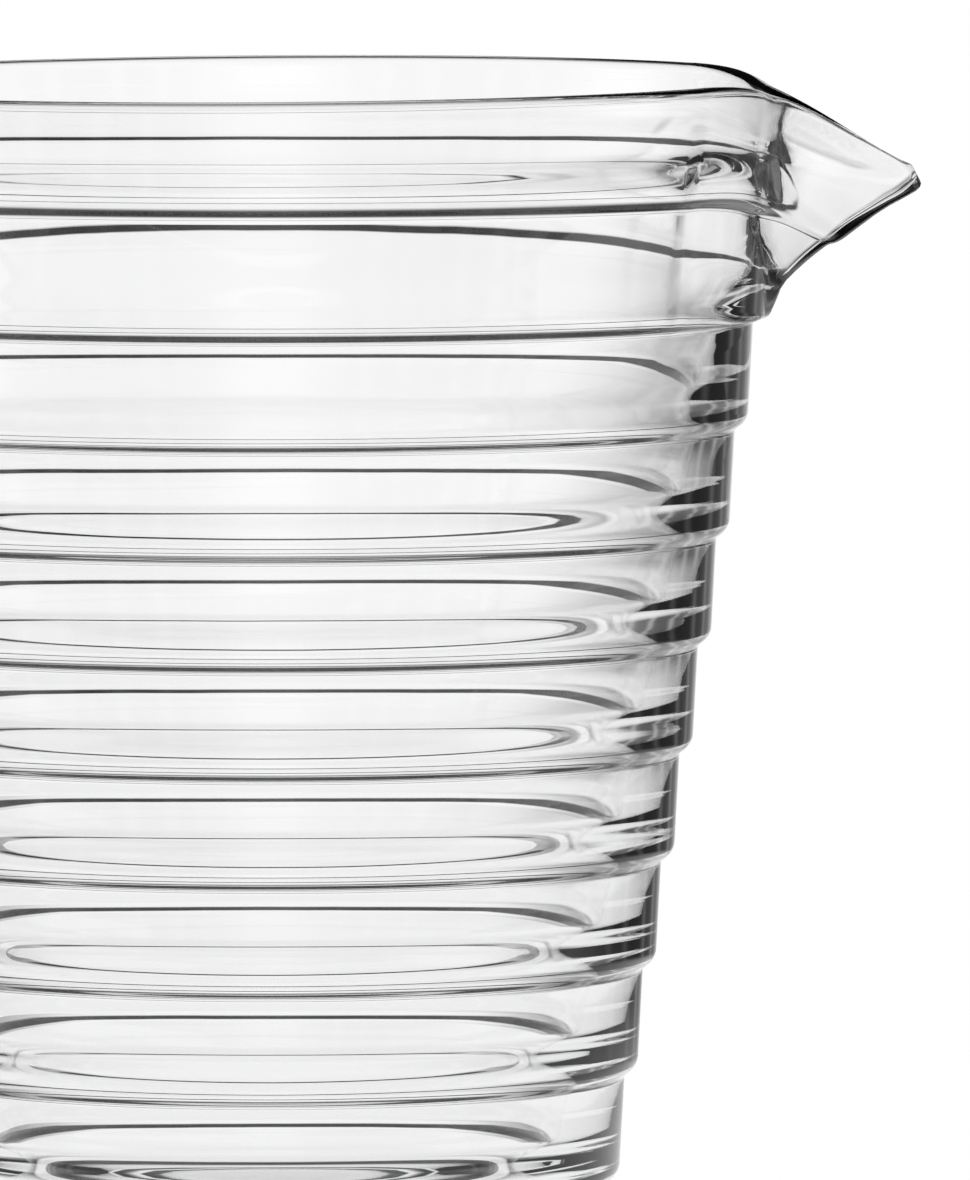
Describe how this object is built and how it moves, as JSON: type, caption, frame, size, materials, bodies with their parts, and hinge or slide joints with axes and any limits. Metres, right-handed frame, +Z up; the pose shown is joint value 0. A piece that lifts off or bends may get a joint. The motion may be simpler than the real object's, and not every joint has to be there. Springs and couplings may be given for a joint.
{
  "type": "glass pitcher",
  "caption": "Tapering clear glass cocktail pitcher with stepped rings round the wall, a narrow pulled pouring beak and a glass handle opposite it, for mixing and serving drinks.",
  "frame": {"origin": "centre of the foot, on the surface that the pitcher stands on", "axes": "+Z up along the axis of the vessel, +X towards the pouring beak, with the handle on the -X side"},
  "size_m": [0.1927, 0.14, 0.1763],
  "materials": {
    "vessel_glass": "fire polished, clear and colourless",
    "handle_glass": "fire polished, clear and colourless"
  },
  "bodies": {
    "root": {"pitcher_body": "vessel_glass", "handle": "handle_glass"}
  },
  "joints": []
}
